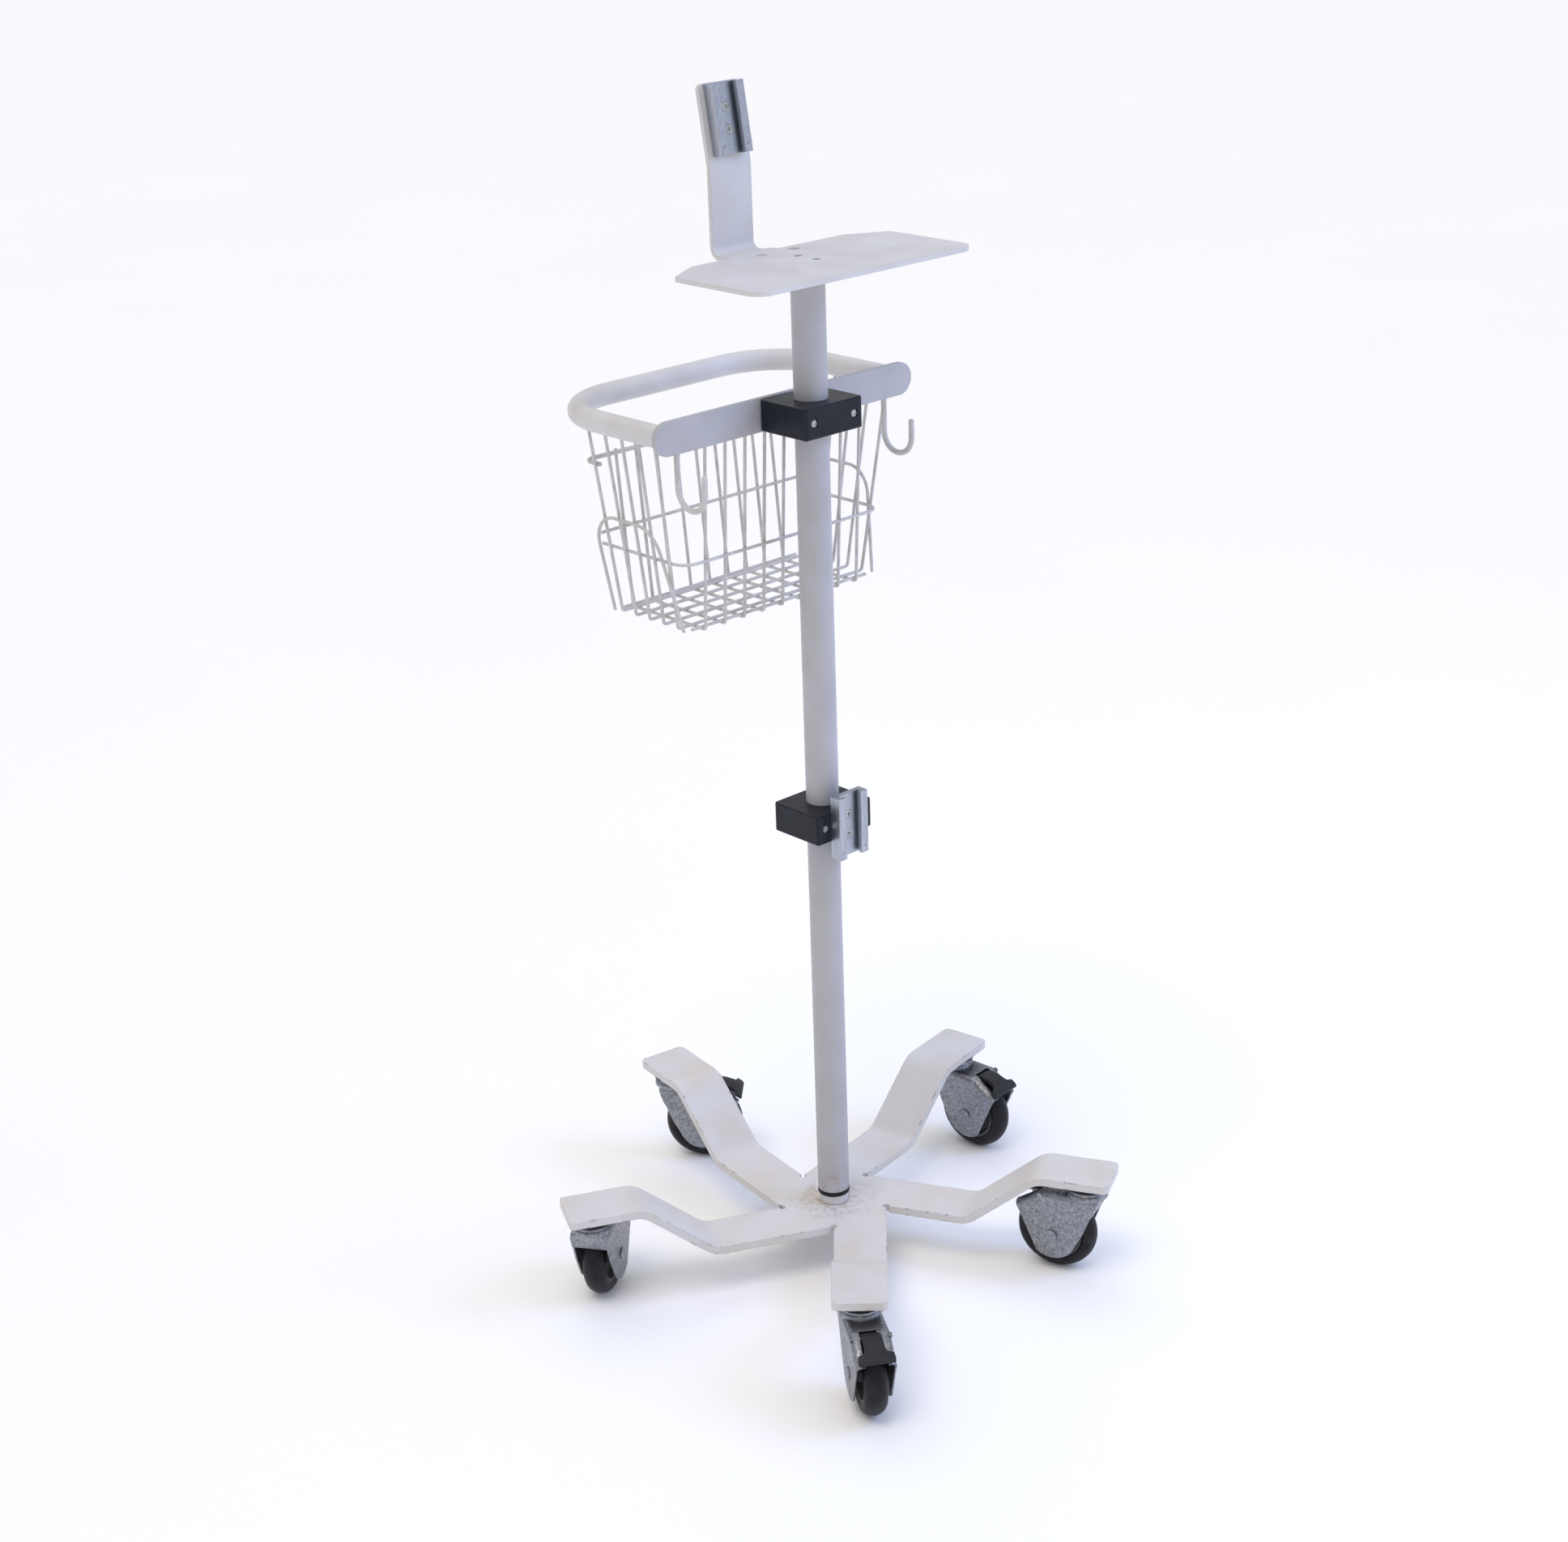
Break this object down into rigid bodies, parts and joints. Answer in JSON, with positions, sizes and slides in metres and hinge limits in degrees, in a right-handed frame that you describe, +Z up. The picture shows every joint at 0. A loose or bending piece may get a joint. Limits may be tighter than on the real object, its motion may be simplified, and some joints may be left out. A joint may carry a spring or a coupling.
{
  "type": "wheeled equipment stand",
  "caption": "Rolling hospital stand: a post on a pinwheel base of raised arms with braked swivel casters, with a shelf, slotted device rails, bag hooks, a loop handle and a wire basket.",
  "frame": {"origin": "pole axis at floor level", "axes": "+Z up the pole, +X along the shelf and the handle bar, +Y towards the basket"},
  "size_m": [0.6684, 0.6752, 1.4055],
  "materials": {
    "powder_coat": "satin",
    "black_plastic": "matte",
    "clamp_nylon": "satin",
    "rail_aluminium": "satin",
    "zinc_steel": "satin",
    "zinc_fork": "satin",
    "wheel_plastic": "matte",
    "tread_rubber": "matte",
    "pedal_plastic": "satin"
  },
  "bodies": {
    "stand": {"base_star": "powder_coat", "pole_boss": "powder_coat", "pole_ring": "black_plastic", "pole": "powder_coat", "foot_plug": "black_plastic", "pole_bolt": "zinc_steel", "pole_washer": "zinc_steel", "shelf_flange": "powder_coat", "shelf": "powder_coat", "shelf_screws": "zinc_steel", "top_rail": "rail_aluminium", "top_rail_screws": "zinc_steel", "caster_seats": "black_plastic", "caster_studs": "zinc_steel"},
    "basket_handle": {"upper_clamp_front": "clamp_nylon", "upper_clamp_back": "clamp_nylon", "upper_clamp_screws": "zinc_steel", "upper_clamp_nuts": "zinc_steel", "handle_bar": "powder_coat", "handle_tube": "powder_coat", "bag_hooks": "powder_coat", "basket_front": "powder_coat", "basket_back": "powder_coat", "basket_left_end": "powder_coat", "basket_right_end": "powder_coat", "basket_floor": "powder_coat", "basket_belt": "powder_coat", "basket_rim": "powder_coat", "basket_hoops": "powder_coat"},
    "rail_clamp": {"mid_clamp_front": "clamp_nylon", "mid_clamp_back": "clamp_nylon", "mid_clamp_screws": "zinc_steel", "mid_clamp_nuts": "zinc_steel", "mid_rail": "rail_aluminium", "mid_rail_screws": "zinc_steel"},
    "swivel_front_left": {"fork_front_left": "zinc_fork", "pins_front_left": "zinc_fork"},
    "roller_front_left": {"wheel_front_left": "wheel_plastic", "tread_front_left": "tread_rubber"},
    "brake_front_left": {"pedal_front_left": "pedal_plastic"},
    "swivel_front_right": {"fork_front_right": "zinc_fork", "pins_front_right": "zinc_fork"},
    "roller_front_right": {"wheel_front_right": "wheel_plastic", "tread_front_right": "tread_rubber"},
    "brake_front_right": {"pedal_front_right": "pedal_plastic"},
    "swivel_right": {"fork_right": "zinc_fork", "pins_right": "zinc_fork"},
    "roller_right": {"wheel_right": "wheel_plastic", "tread_right": "tread_rubber"},
    "brake_right": {"pedal_right": "pedal_plastic"},
    "swivel_rear": {"fork_rear": "zinc_fork", "pins_rear": "zinc_fork"},
    "roller_rear": {"wheel_rear": "wheel_plastic", "tread_rear": "tread_rubber"},
    "brake_rear": {"pedal_rear": "pedal_plastic"},
    "swivel_left": {"fork_left": "zinc_fork", "pins_left": "zinc_fork"},
    "roller_left": {"wheel_left": "wheel_plastic", "tread_left": "tread_rubber"},
    "brake_left": {"pedal_left": "pedal_plastic"}
  },
  "joints": [
    {"name": "handle_height", "type": "slide", "parent": "stand", "child": "basket_handle", "axis": [0, 0, 1], "range_m": [-0.08, 0.13]},
    {"name": "rail_height", "type": "slide", "parent": "stand", "child": "rail_clamp", "axis": [0, 0, 1], "range_m": [-0.42, 0.33]},
    {"name": "swivel_front_left_turn", "type": "hinge", "parent": "stand", "child": "swivel_front_left", "pos_m": [-0.19379, -0.24404, 0.107], "axis": [0, 0, 1], "continuous": true},
    {"name": "roller_front_left_spin", "type": "hinge", "parent": "swivel_front_left", "child": "roller_front_left", "pos_m": [-0.21345, -0.27538, 0.05], "axis": [0.8471, -0.5314, 0], "continuous": true},
    {"name": "brake_front_left_press", "type": "hinge", "parent": "swivel_front_left", "child": "brake_front_left", "pos_m": [-0.22142, -0.28809, 0.1025], "axis": [0.8471, -0.5314, 0], "range_deg": [0, 8]},
    {"name": "swivel_front_right_turn", "type": "hinge", "parent": "stand", "child": "swivel_front_right", "pos_m": [0.17221, -0.25971, 0.107], "axis": [0, 0, 1], "continuous": true},
    {"name": "roller_front_right_spin", "type": "hinge", "parent": "swivel_front_right", "child": "roller_front_right", "pos_m": [0.1595, -0.22497, 0.05], "axis": [-0.9391, -0.3437, 0], "continuous": true},
    {"name": "brake_front_right_press", "type": "hinge", "parent": "swivel_front_right", "child": "brake_front_right", "pos_m": [0.15434, -0.21088, 0.1025], "axis": [-0.9391, -0.3437, 0], "range_deg": [0, 8]},
    {"name": "swivel_right_turn", "type": "hinge", "parent": "stand", "child": "swivel_right", "pos_m": [0.30022, 0.08353, 0.107], "axis": [0, 0, 1], "continuous": true},
    {"name": "roller_right_spin", "type": "hinge", "parent": "swivel_right", "child": "roller_right", "pos_m": [0.30364, 0.04669, 0.05], "axis": [0.9957, 0.0924, 0], "continuous": true},
    {"name": "brake_right_press", "type": "hinge", "parent": "swivel_right", "child": "brake_right", "pos_m": [0.30502, 0.03175, 0.1025], "axis": [0.9957, 0.0924, 0], "range_deg": [0, 8]},
    {"name": "swivel_rear_turn", "type": "hinge", "parent": "stand", "child": "swivel_rear", "pos_m": [0.01333, 0.31134, 0.107], "axis": [0, 0, 1], "continuous": true},
    {"name": "roller_rear_spin", "type": "hinge", "parent": "swivel_rear", "child": "roller_rear", "pos_m": [0.03875, 0.28445, 0.05], "axis": [0.7266, 0.6871, 0], "continuous": true},
    {"name": "brake_rear_press", "type": "hinge", "parent": "swivel_rear", "child": "brake_rear", "pos_m": [0.04906, 0.27355, 0.1025], "axis": [0.7266, 0.6871, 0], "range_deg": [0, 8]},
    {"name": "swivel_left_turn", "type": "hinge", "parent": "stand", "child": "swivel_left", "pos_m": [-0.29198, 0.10889, 0.107], "axis": [0, 0, 1], "continuous": true},
    {"name": "roller_left_spin", "type": "hinge", "parent": "swivel_left", "child": "roller_left", "pos_m": [-0.26109, 0.12926, 0.05], "axis": [-0.5505, 0.8348, 0], "continuous": true},
    {"name": "brake_left_press", "type": "hinge", "parent": "swivel_left", "child": "brake_left", "pos_m": [-0.24857, 0.13751, 0.1025], "axis": [-0.5505, 0.8348, 0], "range_deg": [0, 8]}
  ]
}
